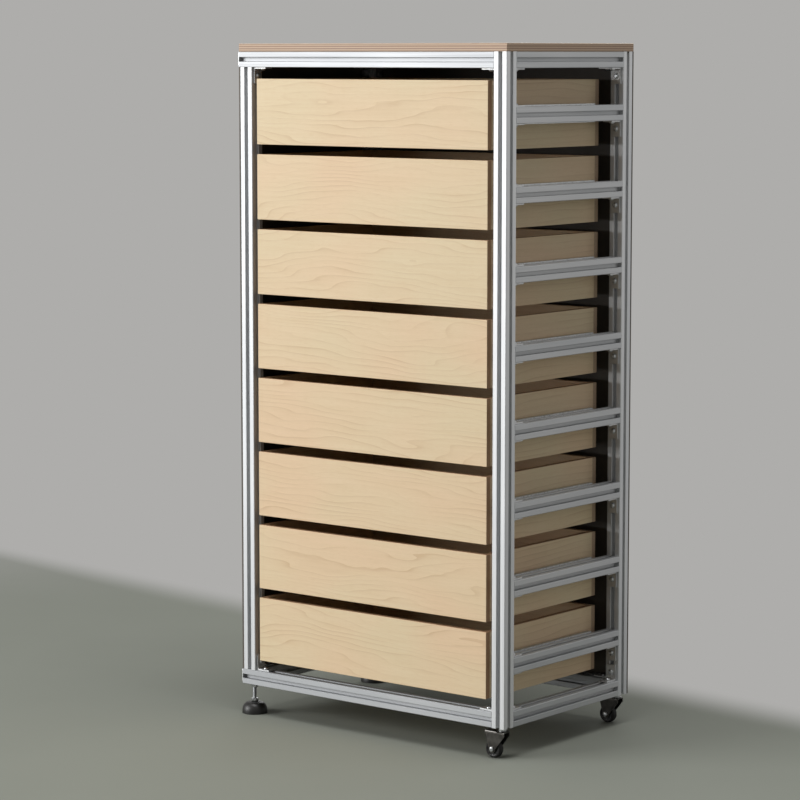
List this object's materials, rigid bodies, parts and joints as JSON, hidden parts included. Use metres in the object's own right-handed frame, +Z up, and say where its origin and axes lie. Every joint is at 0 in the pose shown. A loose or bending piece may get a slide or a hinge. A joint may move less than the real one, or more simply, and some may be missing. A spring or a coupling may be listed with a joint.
{
  "type": "multi-drawer cabinet",
  "caption": "Tall narrow storage cabinet: slotted aluminium frame with a stack of open plywood drawers on ball-bearing slides, two swivel casters and two levelling feet.",
  "frame": {"origin": "bottom centre of the whole cabinet's bounding box, on the floor", "axes": "+X to the user's right, +Y to the back, +Z up"},
  "size_m": [0.654, 0.42, 1.319],
  "materials": {
    "anodised_aluminium": "clear anodised extrusion, fine lengthwise die lines",
    "cast_bracket": "pressed aluminium, satin",
    "birch_plywood": "birch plywood, clear satin varnish, layered edges",
    "dark_sheet": "dark brown-black laminate sheet",
    "zinc_plated_steel": "bright zinc plate",
    "black_rubber": "black rubber tread",
    "black_plastic": "moulded black nylon"
  },
  "bodies": {
    "root": {"right_front_post": "anodised_aluminium", "right_rear_post": "anodised_aluminium", "left_front_post": "anodised_aluminium", "left_rear_post": "anodised_aluminium", "top_front_bar": "anodised_aluminium", "top_rear_bar": "anodised_aluminium", "bottom_front_bar": "anodised_aluminium", "bottom_rear_bar": "anodised_aluminium", "top_side_rails": "anodised_aluminium", "bottom_side_rails": "anodised_aluminium", "drawer_rails": "anodised_aluminium", "corner_brackets": "cast_bracket", "top_panel": "birch_plywood", "left_panel": "dark_sheet", "back_panel": "dark_sheet", "slide_outer_members": "zinc_plated_steel", "caster_stems": "zinc_plated_steel", "foot_nuts": "zinc_plated_steel"},
    "drawer_1": {"drawer_1_front": "birch_plywood", "drawer_1_box": "birch_plywood", "drawer_1_inner_members": "zinc_plated_steel"},
    "drawer_1_middle": {"drawer_1_middle_members": "zinc_plated_steel"},
    "drawer_2": {"drawer_2_front": "birch_plywood", "drawer_2_box": "birch_plywood", "drawer_2_inner_members": "zinc_plated_steel"},
    "drawer_2_middle": {"drawer_2_middle_members": "zinc_plated_steel"},
    "drawer_3": {"drawer_3_front": "birch_plywood", "drawer_3_box": "birch_plywood", "drawer_3_inner_members": "zinc_plated_steel"},
    "drawer_3_middle": {"drawer_3_middle_members": "zinc_plated_steel"},
    "drawer_4": {"drawer_4_front": "birch_plywood", "drawer_4_box": "birch_plywood", "drawer_4_inner_members": "zinc_plated_steel"},
    "drawer_4_middle": {"drawer_4_middle_members": "zinc_plated_steel"},
    "drawer_5": {"drawer_5_front": "birch_plywood", "drawer_5_box": "birch_plywood", "drawer_5_inner_members": "zinc_plated_steel"},
    "drawer_5_middle": {"drawer_5_middle_members": "zinc_plated_steel"},
    "drawer_6": {"drawer_6_front": "birch_plywood", "drawer_6_box": "birch_plywood", "drawer_6_inner_members": "zinc_plated_steel"},
    "drawer_6_middle": {"drawer_6_middle_members": "zinc_plated_steel"},
    "drawer_7": {"drawer_7_front": "birch_plywood", "drawer_7_box": "birch_plywood", "drawer_7_inner_members": "zinc_plated_steel"},
    "drawer_7_middle": {"drawer_7_middle_members": "zinc_plated_steel"},
    "drawer_8": {"drawer_8_front": "birch_plywood", "drawer_8_box": "birch_plywood", "drawer_8_inner_members": "zinc_plated_steel"},
    "drawer_8_middle": {"drawer_8_middle_members": "zinc_plated_steel"},
    "front_caster": {"front_caster_fork": "zinc_plated_steel", "front_caster_axle": "zinc_plated_steel"},
    "front_wheel": {"front_caster_wheel": "black_rubber"},
    "front_foot": {"front_foot_pad": "black_plastic"},
    "front_foot_screw": {"front_foot_stud": "zinc_plated_steel"},
    "rear_caster": {"rear_caster_fork": "zinc_plated_steel", "rear_caster_axle": "zinc_plated_steel"},
    "rear_wheel": {"rear_caster_wheel": "black_rubber"},
    "rear_foot": {"rear_foot_pad": "black_plastic"},
    "rear_foot_screw": {"rear_foot_stud": "zinc_plated_steel"}
  },
  "joints": [
    {"name": "drawer_1_slide", "type": "slide", "parent": "root", "child": "drawer_1", "axis": [0, -1, 0], "range_m": [0, 0.3]},
    {"name": "drawer_1_middle_slide", "type": "slide", "parent": "root", "child": "drawer_1_middle", "axis": [0, -1, 0], "range_m": [0, 0.15]},
    {"name": "drawer_2_slide", "type": "slide", "parent": "root", "child": "drawer_2", "axis": [0, -1, 0], "range_m": [0, 0.3]},
    {"name": "drawer_2_middle_slide", "type": "slide", "parent": "root", "child": "drawer_2_middle", "axis": [0, -1, 0], "range_m": [0, 0.15]},
    {"name": "drawer_3_slide", "type": "slide", "parent": "root", "child": "drawer_3", "axis": [0, -1, 0], "range_m": [0, 0.3]},
    {"name": "drawer_3_middle_slide", "type": "slide", "parent": "root", "child": "drawer_3_middle", "axis": [0, -1, 0], "range_m": [0, 0.15]},
    {"name": "drawer_4_slide", "type": "slide", "parent": "root", "child": "drawer_4", "axis": [0, -1, 0], "range_m": [0, 0.3]},
    {"name": "drawer_4_middle_slide", "type": "slide", "parent": "root", "child": "drawer_4_middle", "axis": [0, -1, 0], "range_m": [0, 0.15]},
    {"name": "drawer_5_slide", "type": "slide", "parent": "root", "child": "drawer_5", "axis": [0, -1, 0], "range_m": [0, 0.3]},
    {"name": "drawer_5_middle_slide", "type": "slide", "parent": "root", "child": "drawer_5_middle", "axis": [0, -1, 0], "range_m": [0, 0.15]},
    {"name": "drawer_6_slide", "type": "slide", "parent": "root", "child": "drawer_6", "axis": [0, -1, 0], "range_m": [0, 0.3]},
    {"name": "drawer_6_middle_slide", "type": "slide", "parent": "root", "child": "drawer_6_middle", "axis": [0, -1, 0], "range_m": [0, 0.15]},
    {"name": "drawer_7_slide", "type": "slide", "parent": "root", "child": "drawer_7", "axis": [0, -1, 0], "range_m": [0, 0.3]},
    {"name": "drawer_7_middle_slide", "type": "slide", "parent": "root", "child": "drawer_7_middle", "axis": [0, -1, 0], "range_m": [0, 0.15]},
    {"name": "drawer_8_slide", "type": "slide", "parent": "root", "child": "drawer_8", "axis": [0, -1, 0], "range_m": [0, 0.3]},
    {"name": "drawer_8_middle_slide", "type": "slide", "parent": "root", "child": "drawer_8_middle", "axis": [0, -1, 0], "range_m": [0, 0.15]},
    {"name": "front_caster_swivel", "type": "hinge", "parent": "root", "child": "front_caster", "pos_m": [0.312, -0.185, 0.05], "axis": [0, 0, 1], "continuous": true},
    {"name": "front_wheel_roll", "type": "hinge", "parent": "front_caster", "child": "front_wheel", "pos_m": [0.294, -0.185, 0.017], "axis": [0, 1, 0], "continuous": true},
    {"name": "front_foot_lift", "type": "slide", "parent": "root", "child": "front_foot", "axis": [0, 0, -1], "range_m": [-0.015, 0.006]},
    {"name": "front_foot_turn", "type": "hinge", "parent": "front_foot", "child": "front_foot_screw", "pos_m": [-0.302, -0.185, 0.03], "axis": [0, 0, 1], "range_deg": [-4320, 1728]},
    {"name": "rear_caster_swivel", "type": "hinge", "parent": "root", "child": "rear_caster", "pos_m": [0.312, 0.185, 0.05], "axis": [0, 0, 1], "continuous": true},
    {"name": "rear_wheel_roll", "type": "hinge", "parent": "rear_caster", "child": "rear_wheel", "pos_m": [0.294, 0.185, 0.017], "axis": [0, 1, 0], "continuous": true},
    {"name": "rear_foot_lift", "type": "slide", "parent": "root", "child": "rear_foot", "axis": [0, 0, -1], "range_m": [-0.015, 0.006]},
    {"name": "rear_foot_turn", "type": "hinge", "parent": "rear_foot", "child": "rear_foot_screw", "pos_m": [-0.302, 0.185, 0.03], "axis": [0, 0, 1], "range_deg": [-4320, 1728]}
  ],
  "couplings": [
    {"joint": "drawer_1_middle_slide", "follows": "drawer_1_slide", "ratio": 0.5},
    {"joint": "drawer_2_middle_slide", "follows": "drawer_2_slide", "ratio": 0.5},
    {"joint": "drawer_3_middle_slide", "follows": "drawer_3_slide", "ratio": 0.5},
    {"joint": "drawer_4_middle_slide", "follows": "drawer_4_slide", "ratio": 0.5},
    {"joint": "drawer_5_middle_slide", "follows": "drawer_5_slide", "ratio": 0.5},
    {"joint": "drawer_6_middle_slide", "follows": "drawer_6_slide", "ratio": 0.5},
    {"joint": "drawer_7_middle_slide", "follows": "drawer_7_slide", "ratio": 0.5},
    {"joint": "drawer_8_middle_slide", "follows": "drawer_8_slide", "ratio": 0.5},
    {"joint": "front_foot_turn", "follows": "front_foot_lift", "rad_per_m": 5026.5},
    {"joint": "rear_foot_turn", "follows": "rear_foot_lift", "rad_per_m": 5026.5}
  ]
}
